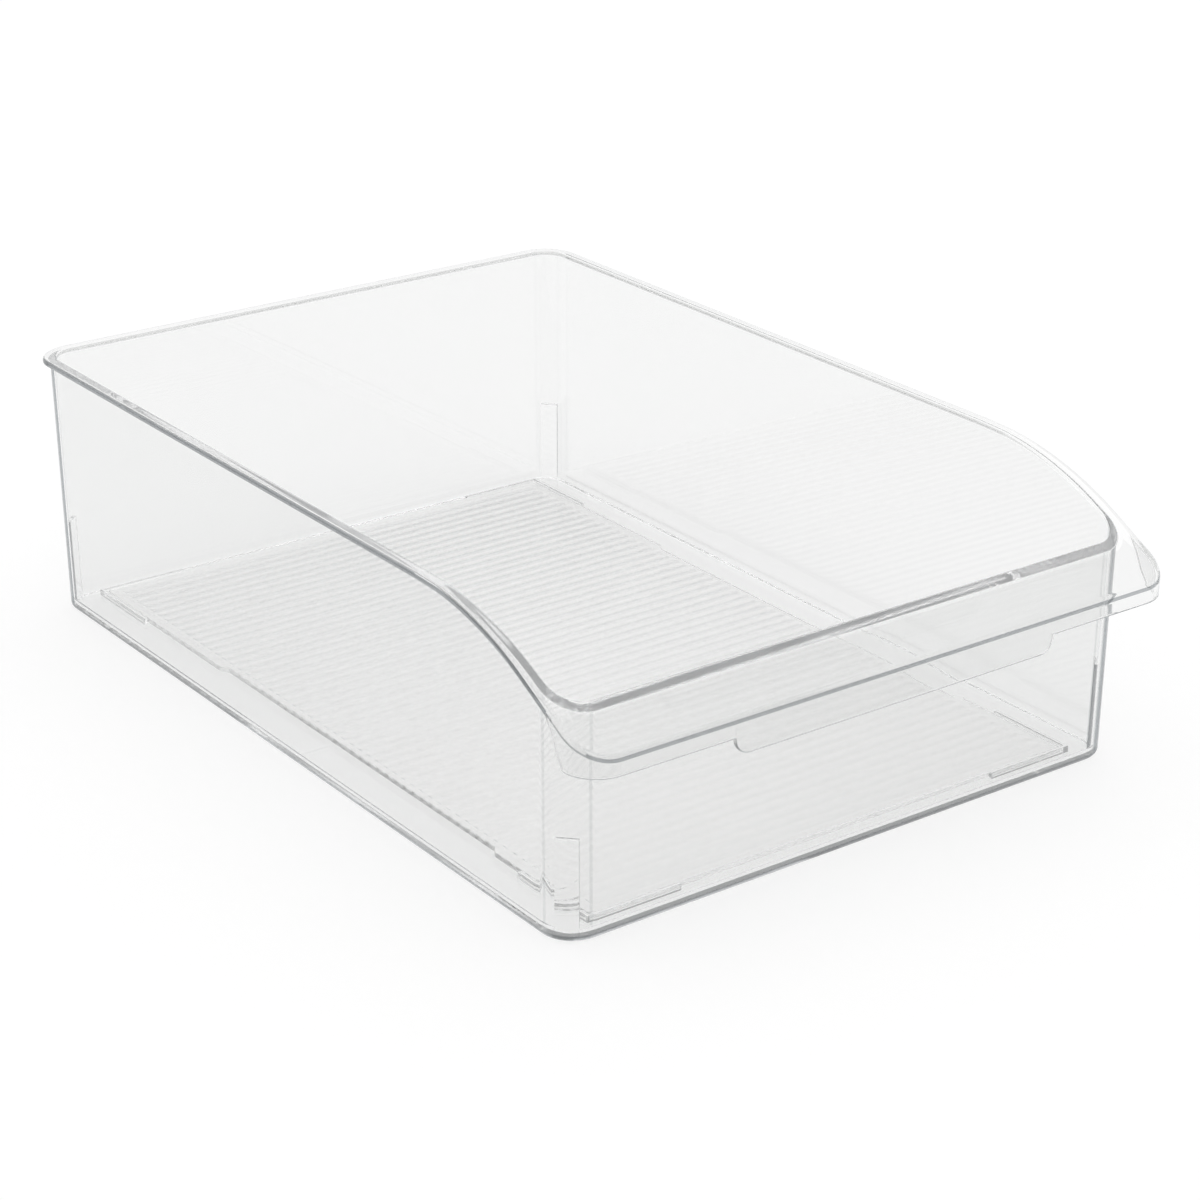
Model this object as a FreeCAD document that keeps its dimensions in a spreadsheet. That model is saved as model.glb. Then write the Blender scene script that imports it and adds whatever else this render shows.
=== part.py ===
import FreeCAD, Part
import os
import Sketcher
from FreeCAD import Placement, Rotation, Vector

# Clear kitchen storage bin for a fridge shelf, open at the top, with a low front and a pull lip.
# Frame: millimetres, +Z up, +X to the bin's right, -Y to its front (the pull lip).
# Origin: centre of the overall length and width, on the shelf that the bin stands on.

# Driving sizes in millimetres and degrees: alias, value, what it is.
SIZES = [
    ("overall_length", 368.0, "front face of the lip to the back of the rim"),
    ("overall_height", 104.0, "shelf to the top of the rim"),
    ("rim_width", 247.4, "across the outside of both side rims"),
    ("lip_width", 250.0, "across the lip, which is a little wider than the rims"),
    ("wall", 2.4, "thickness of every wall"),
    ("floor_thickness", 2.2, "thickness of the floor"),
    ("draft_angle", 0.5, "lean of the walls, outwards towards the top"),
    ("corner_radius", 12.5, "upright outer corners in plan"),
    ("foot_radius", 2.6, "outer edge between walls and floor"),
    ("heel_radius", 3.0, "inner edge between walls and floor"),
    ("rim_overhang", 2.7, "how far the rim stands out from the walls"),
    ("rim_thickness", 2.0, "thickness of the rim and of the lip's sheet"),
    ("rim_edge_radius", 0.8, "rounding round the outside of rim and lip"),
    ("mouth_edge_radius", 1.2, "rounding round the mouth"),
    ("lip_reach", 18.3, "front wall to the front face of the lip"),
    ("lip_corner_radius", 13.0, "front corners of the lip in plan"),
    ("lip_flare_start", 83.0, "distance behind the lip's front where the rim begins to widen"),
    ("lip_slope", 27.0, "fall of the lip, and of the rim that runs down to it"),
    ("lip_bend_height", 73.0, "height of the bend where the skirt begins"),
    ("swoop_radius", 135.0, "curve of the side rim from level to the lip's slope"),
    ("skirt_height", 6.5, "bend to the bottom edge of the skirt"),
    ("skirt_thickness", 1.8, "thickness of the skirt and of the finger tab"),
    ("skirt_return", 12.0, "length of skirt round each end before it runs out"),
    ("skirt_runout", 10.0, "length over which the skirt's ends taper away"),
    ("tab_width", 135.0, "finger tab, end to end"),
    ("tab_drop", 6.2, "finger tab below the skirt"),
    ("tab_corner_radius", 5.5, "lower corners of the finger tab"),
    ("post_height", 36.0, "top of the nesting posts above the shelf"),
    ("post_width", 7.2, "nesting post across the corner"),
    ("post_proud", 2.2, "nesting post in from the inner corner"),
    ("post_root", 0.8, "depth that a post is sunk into the wall"),
    ("liner_length", 325.0, "ribbed liner, front to back"),
    ("liner_width", 206.0, "ribbed liner, side to side"),
    ("liner_thickness", 1.5, "liner under its ribs"),
    ("liner_corner_radius", 2.0, "corners of the liner in plan"),
    ("liner_rib_pitch", 5.68, "spacing of the ribs"),
    ("liner_rib_width", 4.4, "one rib across its foot"),
    ("liner_rib_height", 0.8, "rib above the sheet"),
    ("liner_rib_inset", 2.6, "rib's end in from the side of the liner"),
    ("liner_rib_count", 56.0, "number of ribs"),
    ("grip_recess", 2.0, "depth of the relief along each long edge"),
    ("grip_length", 184.0, "length of that relief"),
    ("grip_offset", -20.0, "middle of the relief, from the middle of the liner"),
    ("locator_leg", 37.0, "each leg of an L-shaped locating rib"),
    ("locator_thickness", 1.6, "thickness of a locating rib"),
    ("locator_height", 2.3, "locating rib above the floor"),
    ("locator_gap", 0.4, "play between the liner and a locating rib"),
]

OVERCUT = 10.0      # how far a cutting block runs past what it cuts
OVERLAP = 0.5       # how far fused blocks run into each other

doc = FreeCAD.newDocument("fridge_bin")
sheet = doc.addObject("Spreadsheet::Sheet", "sizes")
for row, (alias, value, meaning) in enumerate(SIZES, start=1):
    sheet.set(f"A{row}", str(value))
    sheet.setAlias(f"A{row}", alias)
    sheet.set(f"B{row}", meaning)
doc.recompute()

# Derived places, as expressions of the sheet's cells.
FRONT = "(-sizes.overall_length / 2)"
BACK = "(sizes.overall_length / 2)"
WALL_BACK = "(sizes.overall_length / 2 - sizes.rim_overhang)"
WALL_FRONT = "(sizes.lip_reach - sizes.overall_length / 2)"
WALL_MIDDLE = f"(({WALL_BACK} + {WALL_FRONT}) / 2)"
WALL_HALF_LENGTH = f"(({WALL_BACK} - {WALL_FRONT}) / 2)"
WALL_HALF_WIDTH = "(sizes.rim_width / 2 - sizes.rim_overhang)"
SLOPE = "tan(sizes.lip_slope * 1 deg)"
KNEE_Y = f"({FRONT} + (sizes.overall_height - sizes.lip_bend_height) / {SLOPE})"
DRAFT_AT_TOP = "(sizes.overall_height * tan(sizes.draft_angle * 1 deg))"
DRAFT_AT_FLOOR = (
    "((sizes.overall_height - sizes.floor_thickness) * tan(sizes.draft_angle * 1 deg))"
)
LINER_MIDDLE = WALL_MIDDLE


def value_of(expression):
    """The number that an expression of the sheet's cells stands for."""
    result = sheet.evalExpression(expression)
    return float(getattr(result, "Value", result))


def cell(alias):
    """The number in one cell of the sheet."""
    return float(sheet.get(alias))


def new_body(name):
    """An empty body of the document."""
    body = doc.addObject("PartDesign::Body", name)
    body.Label = name
    return body


def plane_of(body, role):
    """One of the body's own origin planes."""
    return next(item for item in body.Origin.OriginFeatures if item.Role == role)


def new_sketch(body, role, name, height=None):
    """A sketch on one of the body's origin planes, raised by an expression if one is given."""
    sketch = body.newObject("Sketcher::SketchObject", name)
    sketch.AttachmentSupport = (plane_of(body, role), [""])
    sketch.MapMode = "FlatFace"
    if height is not None:
        sketch.setExpression("AttachmentOffset.Base.z", height)
    return sketch


def draw_polygon(sketch, corners):
    """A closed outline of straight runs, each corner held at two expressions of the sheet's cells."""
    points = [Vector(value_of(across), value_of(up), 0) for across, up in corners]
    first = sketch.GeometryCount
    for start, end in zip(points, points[1:] + points[:1]):
        sketch.addGeometry(Part.LineSegment(start, end), False)
    for index, (across, up) in enumerate(corners):
        line = first + index
        following = first + (index + 1) % len(corners)
        sketch.addConstraint(Sketcher.Constraint("Coincident", line, 2, following, 1))
        for kind, expression, number in (
            ("DistanceX", across, points[index].x),
            ("DistanceY", up, points[index].y),
        ):
            held = sketch.addConstraint(Sketcher.Constraint(kind, line, 1, number))
            sketch.setExpression(f"Constraints[{held}]", expression)


def rectangle(left, right, low, high):
    """The corners of an upright rectangle."""
    return [(left, low), (right, low), (right, high), (left, high)]


def pad(body, sketch, length, both_ways=False, lean=None, backwards=False):
    """A pad of the sketch, with its length and lean bound to the sheet."""
    feature = body.newObject("PartDesign::Pad", sketch.Name + "_pad")
    feature.Profile = sketch
    feature.setExpression("Length", length)
    if both_ways:
        feature.SideType = "Symmetric"
    if lean is not None:
        feature.setExpression("TaperAngle", lean)
    feature.Reversed = backwards
    doc.recompute()
    return feature


def edges_where(shape, test):
    """Names of the edges whose two ends and middle satisfy a test."""
    return [
        f"Edge{number}"
        for number, edge in enumerate(shape.Edges, start=1)
        if test(edge)
    ]


def is_upright(edge):
    """True for an edge that climbs, straight or leaning a little."""
    start, end = edge.firstVertex(True).Point, edge.lastVertex(True).Point
    rise = abs(end.z - start.z)
    return rise > 0.5 * edge.Length and rise > 1e-3


def lies_at(height):
    """A test for an edge that lies level at one height."""
    def test(edge):
        box = edge.BoundBox
        return abs(box.ZMin - height) < 1e-4 and abs(box.ZMax - height) < 1e-4
    return test


def round_edges(body, name, test, radius):
    """A fillet on the edges of the body's tip that pass the test."""
    base = body.Tip
    feature = body.newObject("PartDesign::Fillet", name)
    feature.Base = (base, edges_where(base.Shape, test))
    feature.setExpression("Radius", radius)
    doc.recompute()
    return feature


def boolean(kind, name, *members):
    """A Part boolean: Cut and Common take two members, MultiFuse takes several."""
    feature = doc.addObject(f"Part::{kind}", name)
    if kind == "MultiFuse":
        feature.Shapes = list(members)
    else:
        feature.Base, feature.Tool = members
    if kind != "Common":
        feature.Refine = True
    doc.recompute()
    return feature


def side_profile(name, sunk):
    """Everything under the rim's top surface, or under that surface sunk by a thickness.

    The surface is level, turns down through the swoop and ends as the lip's straight slope.
    """
    body = new_body(name)
    sketch = new_sketch(body, "YZ_Plane", name + "_side")
    knee = f"{KNEE_Y} + {sunk} * tan(sizes.lip_slope / 2 * 1 deg)"
    front = f"{FRONT} - {OVERCUT}"
    top = f"sizes.overall_height - {sunk}"
    nose = f"sizes.lip_bend_height - {OVERCUT} * {SLOPE} - {sunk} / cos(sizes.lip_slope * 1 deg)"
    draw_polygon(sketch, [
        (front, f"-{OVERCUT}"),
        (f"{BACK} + {OVERCUT}", f"-{OVERCUT}"),
        (f"{BACK} + {OVERCUT}", top),
        (knee, top),
        (front, nose),
    ])
    pad(body, sketch, f"sizes.lip_width + 2 * {OVERCUT}", both_ways=True)
    bend_y, bend_z = value_of(knee), value_of(top)

    def at_knee(edge):
        middle = edge.CenterOfMass
        return abs(middle.y - bend_y) < 1e-3 and abs(middle.z - bend_z) < 1e-3

    round_edges(body, name + "_swoop", at_knee, f"sizes.swoop_radius - {sunk}")
    return body


def rim_outline(name, inset):
    """A block with the plan of rim and lip, drawn in by an inset, from the shelf to above the rim."""
    body = new_body(name)
    sketch = new_sketch(body, "XY_Plane", name + "_plan")
    half_rim = f"(sizes.rim_width / 2 - {inset})"
    half_lip = f"(sizes.lip_width / 2 - {inset})"
    front = f"{FRONT} + {inset}"
    back = f"{BACK} - {inset}"
    flare = f"{FRONT} + sizes.lip_flare_start"
    draw_polygon(sketch, [
        (f"-{half_lip}", front), (half_lip, front), (half_rim, flare),
        (half_rim, back), (f"-{half_rim}", back), (f"-{half_rim}", flare),
    ])
    pad(body, sketch, "sizes.overall_height")
    front_y, back_y = value_of(front), value_of(back)
    round_edges(
        body, name + "_front_corners",
        lambda edge: is_upright(edge) and abs(edge.CenterOfMass.y - front_y) < 1e-3,
        f"sizes.lip_corner_radius - {inset}",
    )
    round_edges(
        body, name + "_back_corners",
        lambda edge: is_upright(edge) and abs(edge.CenterOfMass.y - back_y) < 1e-3,
        f"sizes.corner_radius + sizes.rim_overhang - {inset}",
    )
    return body


def tapered_block(name, inset, base, draft, height, corner, edge):
    """A block with rounded upright corners, leaning out to the walls' top size less an inset."""
    body = new_body(name)
    sketch = new_sketch(body, "XY_Plane", name + "_plan", base)
    half_width = f"({WALL_HALF_WIDTH} - {inset} - {draft})"
    half_length = f"({WALL_HALF_LENGTH} - {inset} - {draft})"
    draw_polygon(sketch, rectangle(
        f"-{half_width}", half_width,
        f"{WALL_MIDDLE} - {half_length}", f"{WALL_MIDDLE} + {half_length}",
    ))
    pad(body, sketch, height, lean="sizes.draft_angle")
    round_edges(body, name + "_corners", is_upright, corner)
    round_edges(body, name + "_edge", lies_at(value_of(base)), edge)
    return body


def nesting_posts():
    """Four upright posts, one across each inner corner: a bin nested inside this one rests on them."""
    posts = []
    depth = "sizes.post_proud + sizes.post_root"
    centre_x = f"({WALL_HALF_WIDTH} - {DRAFT_AT_TOP} - sizes.corner_radius)"
    centre_y = f"({WALL_HALF_LENGTH} - {DRAFT_AT_TOP} - sizes.corner_radius)"
    reach = "(sizes.corner_radius - sizes.wall - sizes.post_proud)"
    for number, (side, end, turn) in enumerate(
        ((1, 1, 45), (-1, 1, 135), (-1, -1, 225), (1, -1, 315)), start=1
    ):
        post = doc.addObject("Part::Box", f"post_{number}")
        post.setExpression("Length", depth)
        post.setExpression("Width", "sizes.post_width")
        post.setExpression("Height", f"sizes.post_height - sizes.floor_thickness + {OVERLAP}")
        post.Placement = Placement(Vector(), Rotation(Vector(0, 0, 1), turn))
        near = f"{reach} * cos({turn} * 1 deg) + sizes.post_width / 2 * sin({turn} * 1 deg)"
        level = f"{reach} * sin({turn} * 1 deg) - sizes.post_width / 2 * cos({turn} * 1 deg)"
        post.setExpression("Placement.Base.x", f"{side} * {centre_x} + {near}")
        post.setExpression("Placement.Base.y", f"{WALL_MIDDLE} + {end} * {centre_y} + {level}")
        post.setExpression("Placement.Base.z", f"sizes.floor_thickness - {OVERLAP}")
        posts.append(post)
    return posts


def locating_ribs():
    """Four L-shaped ribs on the floor, one round each corner of the liner."""
    body = new_body("locators")
    sketch = new_sketch(body, "XY_Plane", "locators_plan", f"sizes.floor_thickness - {OVERLAP}")
    inner_x = "(sizes.liner_width / 2 + sizes.locator_gap)"
    inner_y = "(sizes.liner_length / 2 + sizes.locator_gap)"
    outer_x = f"({inner_x} + sizes.locator_thickness)"
    outer_y = f"({inner_y} + sizes.locator_thickness)"
    leg_x = f"({outer_x} - sizes.locator_leg)"
    leg_y = f"({outer_y} - sizes.locator_leg)"
    outline = [
        (outer_x, outer_y), (leg_x, outer_y), (leg_x, inner_y),
        (inner_x, inner_y), (inner_x, leg_y), (outer_x, leg_y),
    ]
    for side in (1, -1):
        for end in (1, -1):
            draw_polygon(sketch, [
                (f"{side} * {x}", f"{LINER_MIDDLE} + {end} * {y}") for x, y in outline
            ])
    pad(body, sketch, f"sizes.locator_height + {OVERLAP}")
    return body


def finger_tab():
    """The part of the skirt that hangs lower in the middle, for the fingers."""
    body = new_body("finger_tab")
    sketch = new_sketch(body, "XZ_Plane", "tab_front")
    bottom = "(sizes.lip_bend_height - sizes.skirt_height - sizes.tab_drop)"
    draw_polygon(sketch, rectangle(
        "-sizes.tab_width / 2", "sizes.tab_width / 2",
        bottom, f"sizes.lip_bend_height - sizes.skirt_height + {OVERLAP}",
    ))
    sketch.setExpression("AttachmentOffset.Base.z", "sizes.overall_length / 2")
    pad(body, sketch, "sizes.skirt_thickness", backwards=True)
    low = value_of(bottom)

    def at_lower_corner(edge):
        box = edge.BoundBox
        return box.YLength > 0.5 * edge.Length and abs(box.ZMin - low) < 1e-3

    round_edges(body, "tab_corners", at_lower_corner, "sizes.tab_corner_radius")
    return body


def skirt_band():
    """A block that leaves the skirt its height at the front and tapers it away round both ends."""
    body = new_body("skirt_band")
    sketch = new_sketch(body, "YZ_Plane", "skirt_side")
    bottom = "sizes.lip_bend_height - sizes.skirt_height"
    runout_start = f"{FRONT} + sizes.skirt_return"
    runout_end = f"{runout_start} + sizes.skirt_runout"
    underside = (
        f"sizes.lip_bend_height + (sizes.skirt_return + sizes.skirt_runout) * {SLOPE}"
        " - sizes.rim_thickness / cos(sizes.lip_slope * 1 deg)"
    )
    top = "sizes.overall_height"
    draw_polygon(sketch, [
        (f"{FRONT} - {OVERCUT}", bottom), (runout_start, bottom), (runout_end, underside),
        (runout_end, top), (f"{FRONT} - {OVERCUT}", top),
    ])
    pad(body, sketch, f"sizes.lip_width + 2 * {OVERCUT}", both_ways=True)
    return body


def top_edges(shape, keep):
    """Numbers of the edges that follow the rim's top surface and that a further test keeps."""
    rim_top = cell("overall_height")
    radius = cell("swoop_radius")
    slope = value_of(SLOPE)
    tangent = radius * value_of("tan(sizes.lip_slope / 2 * 1 deg)")
    arc_start = value_of(KNEE_Y) + tangent
    arc_end = value_of(KNEE_Y) - tangent * value_of("cos(sizes.lip_slope * 1 deg)")

    def top_at(y):
        if y >= arc_start:
            return rim_top
        if y <= arc_end:
            return cell("lip_bend_height") + (y - value_of(FRONT)) * slope
        return rim_top - radius + (radius ** 2 - (arc_start - y) ** 2) ** 0.5

    def follows(edge):
        first, last = edge.ParameterRange
        spots = [edge.valueAt(first + (last - first) * part) for part in (0.1, 0.5, 0.9)]
        return all(abs(spot.z - top_at(spot.y)) < 2e-3 and keep(spot) for spot in spots)

    return [number for number, edge in enumerate(shape.Edges, start=1) if follows(edge)]


def rounded(name, base, keep, alias):
    """The base with its kept top edges rounded to a radius in the sheet."""
    feature = doc.addObject("Part::Fillet", name)
    feature.Base = base
    radius = cell(alias)
    feature.Edges = [(number, radius, radius) for number in top_edges(base.Shape, keep)]
    doc.recompute()
    return feature


def make_rim_sheet():
    """The sheet that makes rim and lip, its outer top edge rounded."""
    outline = rim_outline("rim_outline", "0")
    rim_block = boolean("Common", "rim_block", side_profile("under_rim_top", "0"), outline)
    under_sheet = side_profile("under_rim_sheet", "sizes.rim_thickness")
    sheet_sharp = boolean("Cut", "rim_sheet_sharp", rim_block, under_sheet)
    wall_x, wall_front, wall_back = (
        value_of(place) for place in (WALL_HALF_WIDTH, WALL_FRONT, WALL_BACK)
    )

    def outside(spot):
        return abs(spot.x) > wall_x or spot.y < wall_front or spot.y > wall_back

    return rounded("rim_sheet", sheet_sharp, outside, "rim_edge_radius")


def make_skirt():
    """The lip's downturned edge, which tapers away round both ends."""
    outside = rim_outline("skirt_outside", "0")
    inside = rim_outline("skirt_inside", "sizes.skirt_thickness")
    ring = boolean("Cut", "skirt_ring", outside, inside)
    strip = boolean("Common", "skirt_strip", ring, skirt_band())
    sheet_middle = side_profile("under_skirt_top", "sizes.rim_thickness / 2")
    return boolean("Common", "skirt", strip, sheet_middle)


def make_tub():
    """The clear tub: walls, floor, rim, pull lip with its skirt and tab, posts and locating ribs."""
    walls = tapered_block(
        "outer_walls", "0", "0", DRAFT_AT_TOP,
        "sizes.overall_height", "sizes.corner_radius", "sizes.foot_radius",
    )
    wall_block = boolean("Common", "wall_block", walls, side_profile("under_walls_top", "0"))
    cavity = tapered_block(
        "cavity", "sizes.wall", "sizes.floor_thickness", DRAFT_AT_FLOOR,
        f"sizes.overall_height + {OVERCUT}", "sizes.corner_radius - sizes.wall", "sizes.heel_radius",
    )
    solid = boolean("MultiFuse", "tub_solid", make_rim_sheet(), wall_block, make_skirt(), finger_tab())
    hollow = boolean("Cut", "tub_hollow", solid, cavity)
    play = 0.01
    mouth_x = value_of(WALL_HALF_WIDTH) - cell("wall") + play
    mouth_front = value_of(WALL_FRONT) + cell("wall") - play
    mouth_back = value_of(WALL_BACK) - cell("wall") + play

    def at_mouth(spot):
        return abs(spot.x) < mouth_x and mouth_front < spot.y < mouth_back

    mouth = rounded("tub_mouth", hollow, at_mouth, "mouth_edge_radius")
    tub = boolean("MultiFuse", "bin_tub", mouth, locating_ribs(), *nesting_posts())
    tub.Label = "bin_tub"
    return tub


def liner_sheet(body):
    """The liner's sheet, with a relief along each long edge to grip it by, and rounded corners."""
    plan = new_sketch(body, "XY_Plane", "liner_plan")
    side = "sizes.liner_width / 2"
    inner_side = "(sizes.liner_width / 2 - sizes.grip_recess)"
    end = "sizes.liner_length / 2"
    grip_back = "sizes.grip_offset + sizes.grip_length / 2"
    grip_front = "sizes.grip_offset - sizes.grip_length / 2"
    ramp = "2 * sizes.grip_recess"
    right = [
        (side, f"-{end}"), (side, grip_front), (inner_side, f"{grip_front} + {ramp}"),
        (inner_side, f"{grip_back} - {ramp}"), (side, grip_back), (side, end),
    ]
    left = [(f"-{x}", y) for x, y in reversed(right)]
    draw_polygon(plan, right + left)
    pad(body, plan, "sizes.liner_thickness")
    half_width, half_length = cell("liner_width") / 2, cell("liner_length") / 2

    def at_corner(edge):
        middle = edge.CenterOfMass
        return (
            is_upright(edge)
            and abs(abs(middle.x) - half_width) < 1e-3
            and abs(abs(middle.y) - half_length) < 1e-3
        )

    round_edges(body, "liner_corners", at_corner, "sizes.liner_corner_radius")


def rib_section(body):
    """The cut through the front rib: an arc that stands on the sheet."""
    section = new_sketch(body, "YZ_Plane", "rib_section")
    half_rib = cell("liner_rib_width") / 2
    sheet_top = cell("liner_thickness")
    crown = sheet_top + cell("liner_rib_height")
    first_rib = -(cell("liner_rib_count") - 1) / 2 * cell("liner_rib_pitch")
    ends = [Vector(first_rib + half_rib, sheet_top, 0), Vector(first_rib - half_rib, sheet_top, 0)]
    section.addGeometry(Part.Arc(ends[0], Vector(first_rib, crown, 0), ends[1]), False)
    section.addGeometry(Part.LineSegment(ends[1], ends[0]), False)
    section.addConstraint(Sketcher.Constraint("Coincident", 0, 2, 1, 1))
    section.addConstraint(Sketcher.Constraint("Coincident", 1, 2, 0, 1))
    first_middle = "-(sizes.liner_rib_count - 1) / 2 * sizes.liner_rib_pitch"
    for kind, vertex, number, expression in (
        ("DistanceX", 2, ends[0].x, f"{first_middle} + sizes.liner_rib_width / 2"),
        ("DistanceX", 1, ends[1].x, f"{first_middle} - sizes.liner_rib_width / 2"),
        ("DistanceY", 2, sheet_top, "sizes.liner_thickness"),
        ("DistanceY", 1, sheet_top, "sizes.liner_thickness"),
    ):
        held = section.addConstraint(Sketcher.Constraint(kind, 1, vertex, number))
        section.setExpression(f"Constraints[{held}]", expression)
    height = cell("liner_rib_height")
    crown_radius = (half_rib ** 2 + height ** 2) / (2 * height)
    held = section.addConstraint(Sketcher.Constraint("Radius", 0, crown_radius))
    section.setExpression(
        f"Constraints[{held}]",
        "((sizes.liner_rib_width / 2)^2 + sizes.liner_rib_height^2) / (2 * sizes.liner_rib_height)",
    )
    return section


def make_liner():
    """The loose liner: a thin sheet with cross ribs on it."""
    body = new_body("ribbed_liner")
    body.setExpression("Placement.Base.y", LINER_MIDDLE)
    body.setExpression("Placement.Base.z", "sizes.floor_thickness")
    liner_sheet(body)
    section = rib_section(body)
    rib_length = "sizes.liner_width - 2 * (sizes.grip_recess + sizes.liner_rib_inset)"
    rib = pad(body, section, rib_length, both_ways=True)
    ribs = body.newObject("PartDesign::LinearPattern", "ribs")
    ribs.Originals = [rib]
    ribs.Direction = (section, ["H_Axis"])
    ribs.setExpression("Length", "(sizes.liner_rib_count - 1) * sizes.liner_rib_pitch")
    ribs.Occurrences = int(cell("liner_rib_count"))
    body.Tip = ribs
    doc.recompute()
    return body


def check_document():
    """Stops with a message if any object of the document failed to rebuild."""
    for item in doc.Objects:
        if {"Invalid", "Error"} & set(item.State):
            raise RuntimeError(f"{item.Name}: {item.State}")


def write_part(item):
    """Checks one sub-part's shape and writes it as a STEP file named after its label."""
    shape = item.Shape
    if shape.isNull() or not shape.isValid() or len(shape.Solids) != 1:
        raise RuntimeError(f"{item.Label}: not one valid solid")
    shape.exportStep(os.path.join("parts", item.Label + ".step"))
    box = shape.BoundBox
    print(
        f"{item.Label}: {shape.Volume / 1000:.1f} cm3,"
        f" x {box.XMin:.2f} to {box.XMax:.2f}, y {box.YMin:.2f} to {box.YMax:.2f},"
        f" z {box.ZMin:.2f} to {box.ZMax:.2f}"
    )


parts = [make_tub(), make_liner()]
check_document()
os.makedirs("parts", exist_ok=True)
for part in parts:
    write_part(part)
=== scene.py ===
import math
from collections import namedtuple

import bmesh
import bpy
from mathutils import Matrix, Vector


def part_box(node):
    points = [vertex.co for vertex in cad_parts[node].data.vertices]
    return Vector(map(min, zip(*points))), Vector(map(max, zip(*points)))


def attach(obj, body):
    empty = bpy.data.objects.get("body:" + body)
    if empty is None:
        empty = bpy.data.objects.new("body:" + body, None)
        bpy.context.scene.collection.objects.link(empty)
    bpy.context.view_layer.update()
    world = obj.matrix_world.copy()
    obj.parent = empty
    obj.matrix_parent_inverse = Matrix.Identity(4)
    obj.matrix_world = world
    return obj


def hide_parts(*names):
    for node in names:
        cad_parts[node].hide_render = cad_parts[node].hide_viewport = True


# Looks for a clear fridge bin: an injection-moulded tub with a low front, a sloping pull lip and a
# loose ribbed liner. Everything is in metres, in the frame of the CAD model: +Z up, -Y to the front.

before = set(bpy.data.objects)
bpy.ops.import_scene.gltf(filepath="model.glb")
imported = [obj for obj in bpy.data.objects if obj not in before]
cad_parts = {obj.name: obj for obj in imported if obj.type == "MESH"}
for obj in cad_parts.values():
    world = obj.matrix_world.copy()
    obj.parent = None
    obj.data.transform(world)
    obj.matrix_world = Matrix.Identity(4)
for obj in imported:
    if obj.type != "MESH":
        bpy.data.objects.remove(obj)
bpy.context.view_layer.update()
MM = 0.001

# Places taken from the CAD model.
tub_low, tub_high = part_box("bin_tub")
liner_low, liner_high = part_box("ribbed_liner")
HEIGHT = tub_high[2]
FRONT, BACK = tub_low[1], tub_high[1]
FLOOR_TOP = liner_low[2]
LINER_MIDDLE = (liner_low[1] + liner_high[1]) / 2

# Tub: walls and floor.
DRAFT = math.tan(math.radians(0.5))
WALL = 2.4 * MM
CORNER_RADIUS = 12.5 * MM
FOOT_RADIUS = 2.6 * MM
HEEL_RADIUS = 3.0 * MM

# Tub: rim and lip.
RIM_HALF_WIDTH = 123.7 * MM
LIP_HALF_WIDTH = 125.0 * MM
RIM_OVERHANG = 2.7 * MM
RIM_THICKNESS = 2.0 * MM
RIM_EDGE_RADIUS = 1.1 * MM
MOUTH_EDGE_RADIUS = 0.9 * MM
UNDER_RIM_RADIUS = 0.6 * MM
LIP_REACH = 18.3 * MM
LIP_CORNER_RADIUS = 13.0 * MM
LIP_SLOPE = math.radians(27)
LIP_DROP = 31.0 * MM            # top of the rim down to the lip's bend
LIP_BEND_RADIUS = 2.0 * MM
FLARE_LENGTH = 83.0 * MM        # stretch of side rim that widens towards the lip
FLARE_EASE = 10.0 * MM
SWOOP_RADIUS = 135.0 * MM

# Tub: skirt and finger tab.
SKIRT_HEIGHT = 6.5 * MM
SKIRT_THICKNESS = 1.8 * MM
SKIRT_RETURN = 12.0 * MM
SKIRT_RUNOUT = 10.0 * MM
SKIRT_EDGE_RADIUS = 0.5 * MM
SKIRT_ROOT_RADIUS = 1.0 * MM
TAB_HALF_WIDTH = 67.5 * MM
TAB_DROP = 6.2 * MM
TAB_CORNER_RADIUS = 5.5 * MM

# Tub: posts in the corners and L-shaped ribs round the liner.
POST_TOP = 36.0 * MM
POST_WIDTH = 7.2 * MM
POST_PROUD = 2.2 * MM
LOCATOR_GAP = 0.4 * MM
LOCATOR_THICKNESS = 1.6 * MM
LOCATOR_LEG = 37.0 * MM
LOCATOR_HEIGHT = 2.3 * MM
LOCATOR_EDGE = 0.35 * MM

# Liner.
LINER_LIFT = 0.15 * MM          # air under the liner, so that two clear faces don't coincide
LINER_CORNER = 2.0 * MM
LINER_EDGE = 0.45 * MM
GRIP_RECESS = 2.0 * MM
GRIP_LENGTH = 184.0 * MM
GRIP_OFFSET = -20.0 * MM
RIB_PITCH = 5.68 * MM
RIB_COUNT = 56
RIB_HEIGHT = 0.3 * MM           # relief as shown: full ribs look too strong in clear plastic
RIB_END_INSET = 4.6 * MM
RIB_NOSE = 1.6 * MM

# How far a face looks up, from -1 to 1, where one of the tub's materials, each with its own painted
# shade, gives way to another.
LEVEL_RISE = 0.8
UPRIGHT_RISE = 0.1
RIM_EDGE_RISE = 0.9
SLOPING_EDGE_RISE = 0.7
LIP_BEND_RISE = (0.2, 0.5)
HEM_RISE = (-0.8, -0.2)
FOOT_RISE = (-0.7, -0.1)

# Other limits of the tub's painted shades. The start of an inner corner's bend gets a painted dark
# line.
BEND_START = math.radians(6)
DIAGONAL_MATCH = 0.1            # by how much the x and y parts of a post flank's normal may differ

# Meshing: turns sharper than this stay sharp, and tall plain stretches are cut in three.
SHARP_TURN = math.radians(38)
THIRDS = (0.33, 0.66)
SAME_PLACE = 0.001 * MM

# Plastic: the colour of a faint painted glow that lightens its edges where light is trapped, the share
# that a clear surface scatters, and its scuffs.
PAINTED_GLOW_COLOUR = (0.97, 0.99, 1.0, 1)
CLEAR_HAZE = 0.004
WAVE_DETAIL = 1.0
SCUFF_SCALE = 55.0
SCUFF_DETAIL = 6.0
SCUFF_NOISE = (0.35, 0.75)

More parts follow.
